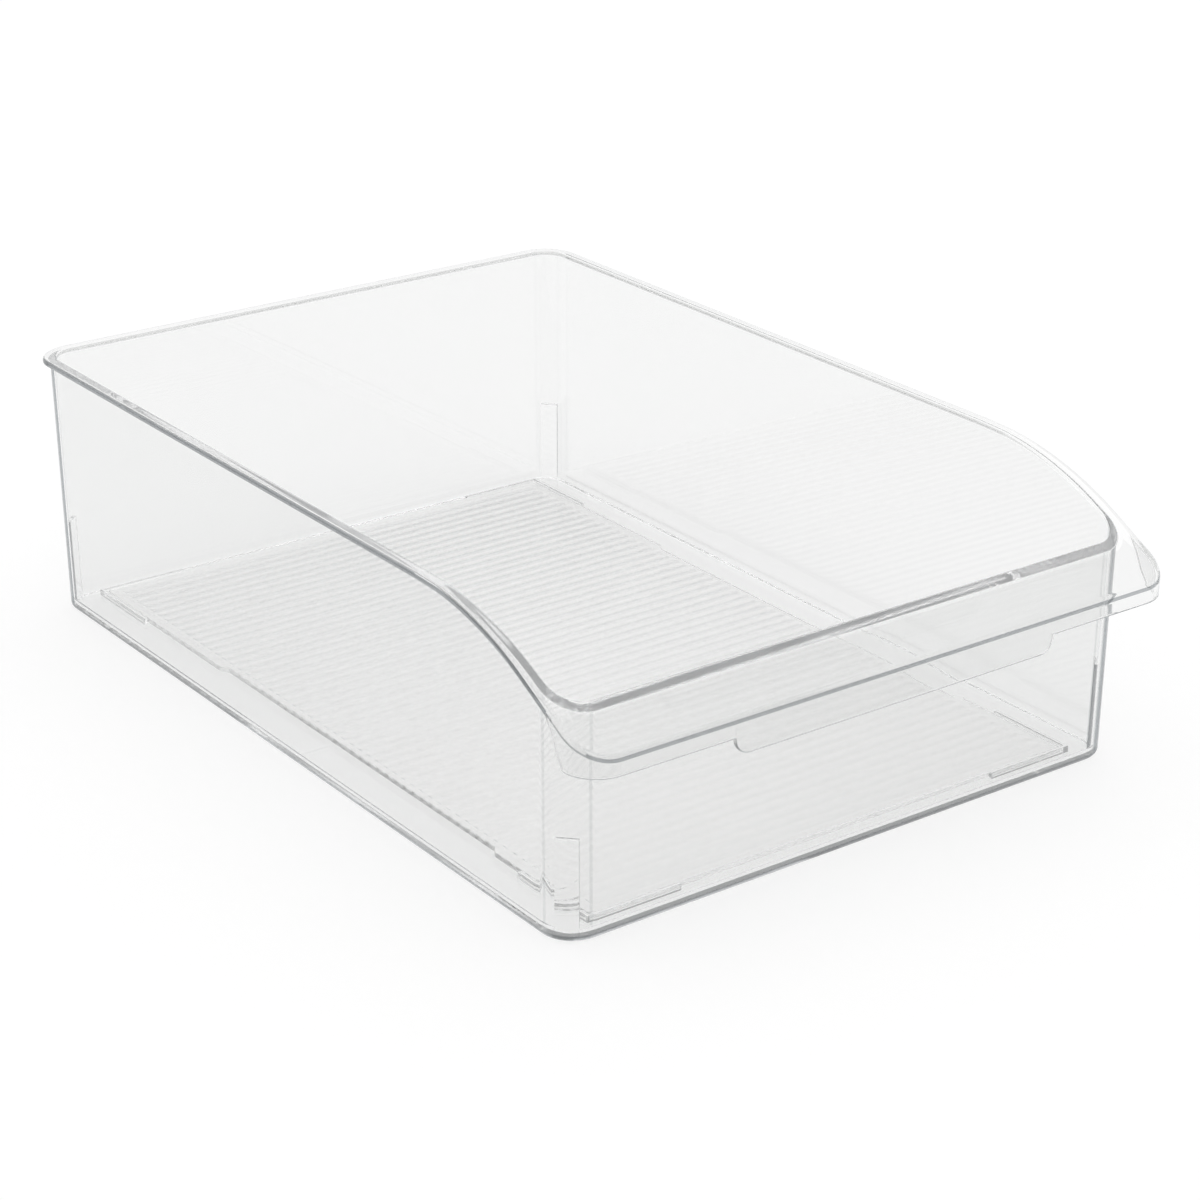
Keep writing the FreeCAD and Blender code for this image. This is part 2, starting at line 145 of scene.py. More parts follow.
# Studio floor, which gives off most of its light so that shadows on it stay faint.
FLOOR_HALF_SIZE = 8.0
FLOOR_GAP = 0.3 * MM
FLOOR_COLOUR = (0.25, 0.25, 0.25, 1)
FLOOR_GLOW = 0.755
FLOOR_ROUGHNESS = 0.9
FLOOR_SHINE = 0.1

# Studio light: the brightness of each band of the sky, and the heights over which bands blend.
SWEEP_LIGHT = 1.08
ROOM_LIGHT = 0.8
SOFTBOX_LIGHT = 1.25
SWEEP_TOP = (0.2, 0.32)
SOFTBOX_EDGE = (0.7, 0.8)

# Camera.
CAMERA_AZIMUTH = math.radians(36.1)
CAMERA_ELEVATION = math.radians(23.2)
CAMERA_DISTANCE = 1.107
CAMERA_AIM = Vector((0.0053, -0.0124, 0.0355))
LENS = 90.05                    # millimetres, as is the sensor's width
SENSOR_WIDTH = 36.0

# Worked-out places.
WALL_BACK = BACK - RIM_OVERHANG
WALL_FRONT = FRONT + LIP_REACH
WALL_MIDDLE = (WALL_BACK + WALL_FRONT) / 2
WALL_HALF_LENGTH = (WALL_BACK - WALL_FRONT) / 2
WALL_HALF_WIDTH = RIM_HALF_WIDTH - RIM_OVERHANG
LIP_BEND = HEIGHT - LIP_DROP
KNEE = FRONT + LIP_DROP / math.tan(LIP_SLOPE)
SWOOP_START = KNEE + SWOOP_RADIUS * math.tan(LIP_SLOPE / 2)
SWOOP_END = SWOOP_START - SWOOP_RADIUS * math.sin(LIP_SLOPE)
FLARE_START = FRONT + FLARE_LENGTH
FLARE = (LIP_HALF_WIDTH - RIM_HALF_WIDTH) / FLARE_LENGTH


def smooth(share):
    """Eases from 0 to 1."""
    share = min(max(share, 0.0), 1.0)
    return share * share * (3 - 2 * share)


def mix(low, high, share):
    """The value a share of the way from low to high."""
    return low + (high - low) * share


# The rim's top surface depends only on how far back a point is.

def slope_at(y):
    if y >= SWOOP_START:
        return 0.0
    if y <= SWOOP_END:
        return LIP_SLOPE
    return math.asin((SWOOP_START - y) / SWOOP_RADIUS)


def top_at(y):
    if y >= SWOOP_START:
        return HEIGHT
    if y <= SWOOP_END:
        return LIP_BEND + (y - FRONT) * math.tan(LIP_SLOPE)
    return HEIGHT - SWOOP_RADIUS * (1 - math.cos(slope_at(y)))


def underside_at(y):
    return top_at(y) - RIM_THICKNESS / math.cos(slope_at(y))


def hem_at(x, y):
    """The bottom of whatever hangs from the rim's outer edge: the skirt, the tab or the rim itself."""
    skirt = LIP_BEND - SKIRT_HEIGHT
    past = y - FRONT - SKIRT_RETURN
    if past > 0:
        return mix(skirt, underside_at(y), smooth(past / SKIRT_RUNOUT))
    side = TAB_HALF_WIDTH - abs(x)
    if y > FRONT + 2 * SKIRT_THICKNESS or side <= 0:
        return skirt
    if side >= TAB_CORNER_RADIUS:
        return skirt - TAB_DROP
    reach = TAB_CORNER_RADIUS - side
    lift = TAB_CORNER_RADIUS - math.sqrt(TAB_CORNER_RADIUS ** 2 - reach ** 2)
    return skirt - TAB_DROP + lift


# One station is an upright cut through the wall, at one place round the bin's plan. across and along
# place its corner centre from -1 to 1, angle is the wall's outward direction, rim_x, rim_y and
# rim_angle are the rim's edge there, and post says whether its foot runs over a nesting post.
Station = namedtuple("Station", "across along angle rim_x rim_y rim_angle post")


def flared(y):
    """Half the rim's width at a place along its side."""
    past = FLARE_START - y
    if past <= 0:
        return RIM_HALF_WIDTH
    if past < FLARE_EASE:
        return RIM_HALF_WIDTH + FLARE * past * past / (2 * FLARE_EASE)
    return RIM_HALF_WIDTH + FLARE * (past - FLARE_EASE / 2)


def flare_angle(y):
    """How far the rim's side turns outwards at a place along it."""
    return math.atan(FLARE * min(max((FLARE_START - y) / FLARE_EASE, 0.0), 1.0))


def spread(start, end, step):
    """Even places from start up to, but not with, end."""
    count = max(1, round(abs(end - start) / step))
    return [mix(start, end, index / count) for index in range(count)]


def corner_turns(step):
    """Turns from the start of a quarter circle to its end, each with whether a post is under it.

    The two edges of a post come twice, once on the wall and once on the post.
    """
    inner = CORNER_RADIUS - WALL
    edge = math.asin(POST_WIDTH / 2 / inner)
    low, high = math.pi / 4 - edge, math.pi / 4 + edge
    before = [(turn, False) for turn in spread(0, low, step)] + [(low, False)]
    over = [(turn, True) for turn in spread(low, high, step)] + [(high, True)]
    after = [(turn, False) for turn in spread(high, math.pi / 2, step)]
    return before + over + after


def half_stations():
    """Stations down the bin's right side, from the middle of its back to the middle of its front."""
    corner_step = math.radians(5.5)
    back_step, side_step, flare_step, lip_step, tab_step = 9 * MM, 12 * MM, 2.5 * MM, 6 * MM, 8 * MM
    half_straight = WALL_HALF_WIDTH - CORNER_RADIUS
    back_centre = WALL_BACK - CORNER_RADIUS
    front_centre = WALL_FRONT + CORNER_RADIUS
    half_run = WALL_HALF_LENGTH - CORNER_RADIUS
    stations = []

    for x in spread(0, half_straight, back_step):
        stations.append(Station(x / half_straight, 1, math.pi / 2, x, BACK, math.pi / 2, False))

    rim_radius = CORNER_RADIUS + RIM_OVERHANG
    for turn, post in corner_turns(corner_step):
        angle = math.pi / 2 - turn
        stations.append(Station(
            1, 1, angle,
            half_straight + rim_radius * math.cos(angle), back_centre + rim_radius * math.sin(angle),
            angle, post,
        ))

    last_angle = math.atan(FLARE)
    lip_centre_y = FRONT + LIP_CORNER_RADIUS
    tangent_y = lip_centre_y + LIP_CORNER_RADIUS * math.sin(last_angle)
    lip_centre_x = flared(tangent_y) - LIP_CORNER_RADIUS * math.cos(last_angle)
    places = spread(back_centre, FLARE_START, side_step)
    places += spread(FLARE_START, front_centre, flare_step)
    for y in places:
        share = smooth((FLARE_START - y) / (FLARE_START - front_centre))
        rim_y = y + (tangent_y - front_centre) * share
        along = (y - WALL_MIDDLE) / half_run
        stations.append(Station(1, along, 0.0, flared(rim_y), rim_y, flare_angle(rim_y), False))

    for turn, post in corner_turns(corner_step):
        rim_angle = mix(last_angle, -math.pi / 2, turn / (math.pi / 2))
        stations.append(Station(
            1, -1, -turn,
            lip_centre_x + LIP_CORNER_RADIUS * math.cos(rim_angle),
            lip_centre_y + LIP_CORNER_RADIUS * math.sin(rim_angle),
            rim_angle, post,
        ))

    hairline = 0.02 * MM
    tab_inner = TAB_HALF_WIDTH - TAB_CORNER_RADIUS
    places = spread(lip_centre_x, TAB_HALF_WIDTH + hairline, lip_step) + [TAB_HALF_WIDTH + hairline]
    round_steps = 8
    for step in range(round_steps):
        places.append(tab_inner + TAB_CORNER_RADIUS * math.cos(step / round_steps * math.pi / 2))
    places += spread(tab_inner, 0, tab_step)
    for x in places:
        stations.append(Station(x / lip_centre_x, -1, -math.pi / 2, x, FRONT, -math.pi / 2, False))
    stations.append(Station(0, -1, -math.pi / 2, 0, FRONT, -math.pi / 2, False))
    return stations


def mirrored(station):
    """The same station on the left side."""
    return station._replace(
        across=-station.across, angle=math.pi - station.angle,
        rim_x=-station.rim_x, rim_angle=math.pi - station.rim_angle,
    )


def all_stations():
    right = half_stations()
    return right + [mirrored(station) for station in reversed(right[1:-1])]


def corner_centre(station, z):
    """Where a station's corner is rounded from, in plan. It moves out with the walls' draft."""
    lean = (HEIGHT - z) * DRAFT
    x = station.across * (WALL_HALF_WIDTH - lean - CORNER_RADIUS)
    y = WALL_MIDDLE + station.along * (WALL_HALF_LENGTH - lean - CORNER_RADIUS)
    return x, y


def wall_point(station, z, inset=0.0):
    """A point of the walls' plan at a height, moved in by an inset."""
    x, y = corner_centre(station, z)
    radius = CORNER_RADIUS - inset
    return x + radius * math.cos(station.angle), y + radius * math.sin(station.angle)


def inside_point(station, z, inset, over_post):
    """A point of the inner wall's plan, which steps in over a nesting post."""
    if abs(station.across) < 1 or abs(station.along) < 1:
        return wall_point(station, z, inset)
    x, y = corner_centre(station, z)
    radius = CORNER_RADIUS - inset
    half_post = POST_WIDTH / 2
    full_edge = math.asin(half_post / (CORNER_RADIUS - WALL))
    edge = math.asin(half_post / radius)
    diagonal = math.atan2(station.along, station.across)
    turn = (station.angle - diagonal + math.pi) % (2 * math.pi) - math.pi
    if abs(turn) <= full_edge + 1e-9:
        sideways = (CORNER_RADIUS - WALL) * math.sin(turn)
        outwards = math.sqrt(radius ** 2 - sideways ** 2)
    else:
        share = (abs(turn) - full_edge) / (math.pi / 4 - full_edge)
        bearing = math.copysign(mix(edge, math.pi / 4, share), turn)
        sideways, outwards = radius * math.sin(bearing), radius * math.cos(bearing)
    if over_post and station.post:
        outwards = min(outwards, CORNER_RADIUS - WALL - POST_PROUD)
    return (
        x + outwards * math.cos(diagonal) - sideways * math.sin(diagonal),
        y + outwards * math.sin(diagonal) + sideways * math.cos(diagonal),
    )


def rim_point(station, inset=0.0):
    """A point of the rim's outline, moved in by an inset."""
    return (
        station.rim_x - inset * math.cos(station.rim_angle),
        station.rim_y - inset * math.sin(station.rim_angle),
    )


def bend(start, corner, end, steps):
    """Points of a round bend from start to end, in place of the sharp corner between them."""
    start, corner, end = Vector(start), Vector(corner), Vector(end)
    before, after = corner - start, end - corner
    turn = before.angle(after, 0.0)
    weight = math.cos(turn / 2)
    points = []
    for index in range(steps + 1):
        t = index / steps
        parts = ((1 - t) ** 2, 2 * t * (1 - t) * weight, t * t)
        points.append((start * parts[0] + corner * parts[1] + end * parts[2]) / sum(parts))
    return points


def strip(start, end, steps, height):
    """Points between two places in plan, with neither of them, at a height that depends on y."""
    points = []
    for index in range(1, steps):
        x, y = (mix(a, b, index / steps) for a, b in zip(start[:2], end[:2]))
        points.append(Vector((x, y, height(y))))
    return points


def at_wall(station, height, inset, drop=0.0):
    """The wall's point where it meets a surface whose height depends on y."""
    z = HEIGHT
    for _ in range(3):
        z = height(wall_point(station, z, inset)[1]) - drop
    x, y = wall_point(station, z, inset)
    return Vector((x, y, z))


def on_rim(station, inset, height):
    """A point of the rim, moved in by an inset, on a surface whose height depends on x and y."""
    x, y = rim_point(station, inset)
    return Vector((x, y, height(x, y)))


def section(station):
    """The tub's cut at a station, from the floor inside, over the rim and down to the foot."""
    points = []
    heel_steps, bend_steps, foot_steps = 6, 5, 7
    # Floor, heel, post and inner wall.
    for step in range(heel_steps + 1):
        turn = step / heel_steps * math.pi / 2
        z = FLOOR_TOP + HEEL_RADIUS * (1 - math.cos(turn))
        inset = WALL + HEEL_RADIUS * (1 - math.sin(turn))
        points.append(Vector((*inside_point(station, z, inset, True), z)))
    for over_post in (True, False):
        points.append(Vector((*inside_point(station, POST_TOP, WALL, over_post), POST_TOP)))
    # Mouth.
    mouth_low = at_wall(station, top_at, WALL, MOUTH_EDGE_RADIUS)
    for share in THIRDS:
        z = mix(POST_TOP, mouth_low.z, share)
        points.append(Vector((*inside_point(station, z, WALL, False), z)))
    mouth_edge = at_wall(station, top_at, WALL)
    mouth_high = at_wall(station, top_at, WALL - MOUTH_EDGE_RADIUS)
    points += bend(mouth_low, mouth_edge, mouth_high, bend_steps)
    # Rim's top and outer edge.
    frontness = smooth((SWOOP_END - station.rim_y) / (SWOOP_END - FRONT - LIP_CORNER_RADIUS))
    edge_radius = mix(RIM_EDGE_RADIUS, LIP_BEND_RADIUS, frontness)
    edge_start = on_rim(station, edge_radius, lambda x, y: top_at(y))
    edge_corner = on_rim(station, 0, lambda x, y: top_at(y))
    points += strip(mouth_high, edge_start, 4, top_at)
    points += bend(edge_start, edge_corner, edge_corner - Vector((0, 0, edge_radius)), bend_steps + 1)
    # Hem: outer corner, inner corner, and the corner under the sheet.
    hem_out = on_rim(station, 0, hem_at)
    hem_in = on_rim(station, SKIRT_THICKNESS, hem_at)
    root = on_rim(station, SKIRT_THICKNESS, lambda x, y: underside_at(y))
    room = max(root.z - hem_in.z, 0.0)
    rounding = min(SKIRT_EDGE_RADIUS, room / 2)
    root_radius = min(SKIRT_ROOT_RADIUS, room / 2)
    outer_rounding = min(SKIRT_EDGE_RADIUS, RIM_THICKNESS - RIM_EDGE_RADIUS)
    points += bend(
        hem_out + Vector((0, 0, outer_rounding)), hem_out,
        on_rim(station, outer_rounding, hem_at), 3,
    )
    points += bend(
        on_rim(station, SKIRT_THICKNESS - rounding, hem_at), hem_in,
        hem_in + Vector((0, 0, rounding)), 3,
    )
    root_end = on_rim(station, SKIRT_THICKNESS + root_radius, lambda x, y: underside_at(y))
    points += bend(root - Vector((0, 0, root_radius)), root, root_end, 4)
    # Underside and outer wall.
    under_start = at_wall(station, underside_at, -UNDER_RIM_RADIUS)
    under_corner = at_wall(station, underside_at, 0)
    under_end = at_wall(station, underside_at, 0, UNDER_RIM_RADIUS)
    points += strip(root_end, under_start, 3, underside_at)
    points += bend(under_start, under_corner, under_end, 4)
    for share in THIRDS:
        z = mix(under_end.z, FOOT_RADIUS, share)
        points.append(Vector((*wall_point(station, z), z)))
    for step in range(foot_steps + 1):
        turn = step / foot_steps * math.pi / 2
        z = FOOT_RADIUS * (1 - math.sin(turn))
        inset = FOOT_RADIUS * (1 - math.cos(turn))
        points.append(Vector((*wall_point(station, z, inset), z)))
    return points


def mesh_object(name, mesh_data, material):
    mesh = bpy.data.meshes.new(name)
    mesh_data.to_mesh(mesh)
    mesh_data.free()
    for face in mesh.polygons:
        face.use_smooth = True
    mesh.materials.append(material)
    piece = bpy.data.objects.new(name, mesh)
    bpy.context.scene.collection.objects.link(piece)
    return piece


def closed_rings(rings):
    """A closed mesh through rings of points, with a flat face over the first and the last ring."""
    data = bmesh.new()
    rows = [[data.verts.new(point) for point in ring] for ring in rings]
    count = len(rows[0])
    for low, high in zip(rows, rows[1:]):
        for index in range(count):
            following = (index + 1) % count
            data.faces.new((low[index], low[following], high[following], high[index]))
    data.faces.new(list(reversed(rows[0])))
    data.faces.new(rows[-1])
    bmesh.ops.remove_doubles(data, verts=data.verts, dist=SAME_PLACE)
    bmesh.ops.dissolve_degenerate(data, edges=data.edges, dist=SAME_PLACE)
    bmesh.ops.recalc_face_normals(data, faces=data.faces)
    return data


def sharpen(data, limit):
    """Marks the edges that turn by more than a limit as sharp."""
    for edge in data.edges:
        if len(edge.link_faces) == 2 and edge.calc_face_angle(0.0) > limit:
            edge.smooth = False


def locator_outline(side, end):
    """Plan of one L-shaped locating rib, anticlockwise for the right back corner."""
    inner_x = liner_high[0] + LOCATOR_GAP
    inner_y = (liner_high[1] - liner_low[1]) / 2 + LOCATOR_GAP
    outer_x, outer_y = inner_x + LOCATOR_THICKNESS, inner_y + LOCATOR_THICKNESS
    leg_x, leg_y = outer_x - LOCATOR_LEG, outer_y - LOCATOR_LEG
    corners = [
        (outer_x, leg_y), (outer_x, outer_y), (leg_x, outer_y),
        (leg_x, inner_y), (inner_x, inner_y), (inner_x, leg_y),
    ]
    return [(side * x, LINER_MIDDLE + end * y) for x, y in corners]


def locators():
    """The four L-shaped ribs, sunk a little into the floor."""
    data = bmesh.new()
    sunk = 1.0 * MM
    for side in (1, -1):
        for end in (1, -1):
            base = [data.verts.new((x, y, FLOOR_TOP - sunk)) for x, y in locator_outline(side, end)]
            face = data.faces.new(base)
            grown = bmesh.ops.extrude_face_region(data, geom=[face])["geom"]
            top = [item for item in grown if isinstance(item, bmesh.types.BMVert)]
            bmesh.ops.translate(data, verts=top, vec=(0, 0, sunk + LOCATOR_HEIGHT))
    bmesh.ops.recalc_face_normals(data, faces=data.faces)
    middle = FLOOR_TOP + LOCATOR_HEIGHT / 2
    raised = [edge for edge in data.edges if any(vert.co.z > middle for vert in edge.verts)]
    bmesh.ops.bevel(data, geom=raised, offset=LOCATOR_EDGE, segments=3, profile=0.5, affect="EDGES")
    return data


def between(value, limits):
    return limits[0] < value < limits[1]


def region(face):
    """Which of the tub's materials, each with its own painted shade, a face has, as a place in their
    list.

    They are wall, outer corner, rim edge, post flank, level, the start of an inner corner's bend and
    fold, which is the lip's bend, a hem or the foot's round.
    """
    wall, corner, rim, flank, level, bend_start, fold = range(7)
    centre, normal = face.center, face.normal
    lean = (HEIGHT - centre.z) * DRAFT
    along = centre.y - WALL_MIDDLE
    to_corner = Vector((
        abs(centre.x) - (WALL_HALF_WIDTH - lean - CORNER_RADIUS),
        abs(along) - (WALL_HALF_LENGTH - lean - CORNER_RADIUS),
    ))
    # Past the walls: the rim and the lip.
    if max(to_corner) - CORNER_RADIUS > RIM_OVERHANG / 2:
        past_skirt = centre.y > FRONT + SKIRT_RETURN + SKIRT_RUNOUT
        edge_rise = SLOPING_EDGE_RISE if slope_at(centre.y) > 0 else RIM_EDGE_RISE
        if past_skirt and abs(normal.z) < edge_rise:
            return rim
        return fold if between(normal.z, LIP_BEND_RISE) or between(normal.z, HEM_RISE) else wall
    if abs(normal.z) > LEVEL_RISE:
        return level
    if centre.z < FOOT_RADIUS and between(normal.z, FOOT_RISE):
        return fold
    # Upright faces in the corners.
    if min(to_corner) < 0 or abs(normal.z) > UPRIGHT_RISE:
        return wall
    if to_corner.length > CORNER_RADIUS - WALL / 2:
        return corner
    across_diagonal = normal.x * normal.y * centre.x * along < 0
    on_flank = across_diagonal and abs(abs(normal.x) - abs(normal.y)) < DIAGONAL_MATCH
    if on_flank and centre.z < POST_TOP:
        return flank
    bearing = math.atan2(to_corner.y, to_corner.x)
    return bend_start if min(bearing, math.pi / 2 - bearing) < BEND_START else wall


def make_tub(materials):
    """The tub with its locating ribs fused in, and a material with its own painted shade for each
    face.
    """
    rings = list(zip(*[section(station) for station in all_stations()]))
    tub = mesh_object("tub", closed_rings(rings), materials[0])
    ribs = mesh_object("locators", locators(), materials[0])
    union = tub.modifiers.new("locators", "BOOLEAN")
    union.operation = "UNION"
    union.solver = "EXACT"
    union.object = ribs
    graph = bpy.context.evaluated_depsgraph_get()
    joined = bpy.data.meshes.new_from_object(tub.evaluated_get(graph))
    tub.modifiers.clear()
    tub.data = joined
    bpy.data.objects.remove(ribs)
    joined.materials.clear()
    for material in materials:
        joined.materials.append(material)
    for face in joined.polygons:
        face.material_index = region(face)
    finish_surface(tub)
    return tub


def finish_surface(piece):
    """Sharp edges where the surface turns hard, and normals that keep flat faces flat."""
    data = bmesh.new()
    data.from_mesh(piece.data)
    sharpen(data, SHARP_TURN)
    data.to_mesh(piece.data)
    data.free()
    for face in piece.data.polygons:
        face.use_smooth = True
    weighted = piece.modifiers.new("normals", "WEIGHTED_NORMAL")
    weighted.keep_sharp = True
    weighted.weight = 60


# Liner: its cut across the bin, swept from front to back over the ribs.

def liner_half_width(y):
    """Half the liner's width, with the relief along each long edge and rounded corners."""
    half = liner_high[0]
    half_length = (liner_high[1] - liner_low[1]) / 2
    from_grip = GRIP_LENGTH / 2 - abs(y - LINER_MIDDLE - GRIP_OFFSET)
    half -= GRIP_RECESS * smooth(from_grip / (2 * GRIP_RECESS))
    from_end = half_length - abs(y - LINER_MIDDLE)
    if from_end < LINER_CORNER:
        half -= LINER_CORNER - math.sqrt(LINER_CORNER ** 2 - (LINER_CORNER - from_end) ** 2)
    return half


def rib_height(y):
    """Height of the ribs' wave above the sheet."""
    place = (y - LINER_MIDDLE) / RIB_PITCH + RIB_COUNT / 2
    if not 0 <= place <= RIB_COUNT:
        return 0.0
    crest = 0.5 - 0.5 * math.cos(2 * math.pi * place)
    return RIB_HEIGHT * crest


def rib_end(x):
    """Share of its height that a rib has at a place along it, for its rounded ends."""
    past = abs(x) - (liner_high[0] - RIB_END_INSET - RIB_NOSE)
    if past <= 0:
        return 1.0
    return math.sqrt(max(0.0, 1 - (past / RIB_NOSE) ** 2))


def liner_section(y):
    """The liner's cut across the bin at a place along it."""
    low, sheet = liner_low[2] + LINER_LIFT, liner_high[2] - RIB_HEIGHT
    half = liner_half_width(y)
    wave = rib_height(y)
    inner = liner_high[0] - RIB_END_INSET
    nose = [inner - RIB_NOSE * (1 - math.cos(step / 6 * math.pi / 2)) for step in range(7)]
    border = half - LINER_EDGE - 0.4 * MM
    across = [border] + nose + [inner - 2 * RIB_NOSE, inner * 0.66, inner * 0.33]
    half_top = [Vector((x, y, sheet + wave * rib_end(x))) for x in across]
    edge = bend(
        (half, y, sheet - LINER_EDGE), (half, y, sheet), (half - LINER_EDGE, y, sheet), 4
    )
    foot = bend((half - LINER_EDGE / 2, y, low), (half, y, low), (half, y, low + LINER_EDGE / 2), 2)
    right = [Vector((half * 0.5, y, low))] + foot + edge + half_top
    left = [Vector((-point.x, point.y, point.z)) for point in reversed(right)]
    return right + [Vector((0, y, sheet + wave))] + left


def liner_places():
    """Places along the liner: close together over the ribs, the grips' ends and the corners."""
    half_length = (liner_high[1] - liner_low[1]) / 2
    ribs_half = RIB_COUNT / 2 * RIB_PITCH
    rib_steps = RIB_COUNT * 12
    corner_steps = 8
    places = {ribs_half * (2 * step / rib_steps - 1) for step in range(rib_steps + 1)}
    for step in range(corner_steps + 1):
        corner = half_length - LINER_CORNER * (1 - math.sin(step / corner_steps * math.pi / 2))
        places.update((corner, -corner))
    return sorted(LINER_MIDDLE + place for place in places)


def make_liner(material):
    rings = [liner_section(y) for y in liner_places()]
    liner = mesh_object("liner", closed_rings(rings), material)
    finish_surface(liner)
    return liner


# Materials.

def ramp(nodes, links, source, low, high):
    """Eases from 0 to 1 as a value goes from low to high."""
    eased = nodes.new("ShaderNodeMapRange")
    eased.interpolation_type = "SMOOTHSTEP"
    eased.inputs["From Min"].default_value = low
    eased.inputs["From Max"].default_value = high
    links.new(source, eased.inputs["Value"])
    return eased.outputs["Result"]


def blend_colours(nodes, links, factor, first, second):
    """Mixes two colours, each a tuple or another node's output."""
    blended = nodes.new("ShaderNodeMix")
    blended.data_type = "RGBA"
    links.new(factor, blended.inputs["Factor"])
    for name, colour in (("A", first), ("B", second)):
        if isinstance(colour, tuple):
            blended.inputs[name].default_value = (*colour, 1)
        else:
            links.new(colour, blended.inputs[name])
    return blended.outputs["Result"]


Plastic = namedtuple(
    "Plastic", "index tint edge_tint edge_range inside haze edge_haze glow roughness wave"
)


def clear_plastic(name, kind):
    """Clear moulded plastic, with painted shade where it is seen edge-on, faintly wavy, with a trace
    of haze.

    tint colours light on its way in. The edge colour, a painted shade, takes over from it as
    edge_range says, from 0 for a face seen square on to 1 for one seen edge-on. haze and edge_haze are
    the shares of that light that the surface scatters and doesn't let in; where the colour is dark,
    they show it as a painted dark band. inside colours light that is on its way out or trapped, as in
    a rim; where it is dark, it paints a dark line. The glow is painted light: a faint light that the
    plastic gives off. It shows only where light is trapped, and it lightens the edges there. wave is
    the scale and the depth of its waviness.
    """
    material = bpy.data.materials.new(name)
    material.use_nodes = True
    nodes, links = material.node_tree.nodes, material.node_tree.links
    shader = nodes["Principled BSDF"]
    shader.inputs["IOR"].default_value = kind.index
    # Painted light: a faint glow that the plastic gives off, which lightens the edges where light is
    # trapped.
    shader.inputs["Emission Color"].default_value = PAINTED_GLOW_COLOUR
    shader.inputs["Emission Strength"].default_value = kind.glow

    # Painted shade: the colour turns from the tint to the dark edge colour as a face is seen more
    # edge-on.
    facing = nodes.new("ShaderNodeLayerWeight")
    facing.inputs["Blend"].default_value = 0.5
    side = nodes.new("ShaderNodeNewGeometry")
    edge_on = ramp(nodes, links, facing.outputs["Facing"], *kind.edge_range)
    outside = blend_colours(nodes, links, edge_on, kind.tint, kind.edge_tint)
    colour = blend_colours(nodes, links, side.outputs["Backfacing"], outside, kind.inside)
    links.new(colour, shader.inputs["Base Color"])

    shader.inputs["Transmission Weight"].default_value = 1.0 - CLEAR_HAZE
    # Where the haze differs from the clear trace, less light gets in and the colour shows as diffuse.
    # This gives a faint frost on the liner, and a painted dark band on the rim, the corners and the
    # post flanks.
    if (kind.haze, kind.edge_haze) != (CLEAR_HAZE, CLEAR_HAZE):
        let_in = nodes.new("ShaderNodeMapRange")
        let_in.inputs["To Min"].default_value = 1.0 - kind.haze
        let_in.inputs["To Max"].default_value = 1.0 - kind.edge_haze
        links.new(edge_on, let_in.inputs["Value"])
        passed = nodes.new("ShaderNodeMix")
        passed.inputs["B"].default_value = 1.0 - CLEAR_HAZE
        links.new(side.outputs["Backfacing"], passed.inputs["Factor"])
        links.new(let_in.outputs["Result"], passed.inputs["A"])
        links.new(passed.outputs["Result"], shader.inputs["Transmission Weight"])

    place = nodes.new("ShaderNodeTexCoord")
    wave_scale, wave_depth = kind.wave
    waves = nodes.new("ShaderNodeTexNoise")
    waves.inputs["Scale"].default_value = wave_scale
    waves.inputs["Detail"].default_value = WAVE_DETAIL
    links.new(place.outputs["Object"], waves.inputs["Vector"])
    bump = nodes.new("ShaderNodeBump")
    bump.inputs["Distance"].default_value = wave_depth
    links.new(waves.outputs["Fac"], bump.inputs["Height"])
    links.new(bump.outputs["Normal"], shader.inputs["Normal"])

    scuffs = nodes.new("ShaderNodeTexNoise")
    scuffs.inputs["Scale"].default_value = SCUFF_SCALE
    scuffs.inputs["Detail"].default_value = SCUFF_DETAIL
    links.new(place.outputs["Object"], scuffs.inputs["Vector"])
    scuffed = nodes.new("ShaderNodeMapRange")
    limits = SCUFF_NOISE + kind.roughness
    for socket, limit in zip(("From Min", "From Max", "To Min", "To Max"), limits):
        scuffed.inputs[socket].default_value = limit
    links.new(scuffs.outputs["Fac"], scuffed.inputs["Value"])
    links.new(scuffed.outputs["Result"], shader.inputs["Roughness"])
    return material


def floor_material():
    material = bpy.data.materials.new("studio_floor")
    material.use_nodes = True
    shader = material.node_tree.nodes["Principled BSDF"]
    shader.inputs["Base Color"].default_value = FLOOR_COLOUR
    shader.inputs["Emission Color"].default_value = (1, 1, 1, 1)
    shader.inputs["Emission Strength"].default_value = FLOOR_GLOW
    shader.inputs["Roughness"].default_value = FLOOR_ROUGHNESS
    shader.inputs["Specular IOR Level"].default_value = FLOOR_SHINE
    return material


# Studio: pale floor, soft light and the camera.

def make_floor():
    data = bmesh.new()
    bmesh.ops.create_grid(data, x_segments=1, y_segments=1, size=FLOOR_HALF_SIZE)
    bmesh.ops.translate(data, verts=data.verts, vec=(0, 0, -FLOOR_GAP))
    floor = mesh_object("studio_floor", data, floor_material())


def make_light():
    """A white sweep up to just over the horizon, a dimmer room above it and a softbox overhead."""
    world = bpy.data.worlds.new("studio")
    world.use_nodes = True
    bpy.context.scene.world = world
    nodes, links = world.node_tree.nodes, world.node_tree.links
    direction = nodes.new("ShaderNodeTexCoord")
    height = nodes.new("ShaderNodeSeparateXYZ")
    links.new(direction.outputs["Generated"], height.inputs["Vector"])
    above_sweep = ramp(nodes, links, height.outputs["Z"], *SWEEP_TOP)
    in_softbox = ramp(nodes, links, height.outputs["Z"], *SOFTBOX_EDGE)
    sweep, room, softbox = ((level,) * 3 for level in (SWEEP_LIGHT, ROOM_LIGHT, SOFTBOX_LIGHT))
    lower = blend_colours(nodes, links, above_sweep, sweep, room)
    light = blend_colours(nodes, links, in_softbox, lower, softbox)
    links.new(light, nodes["Background"].inputs["Color"])


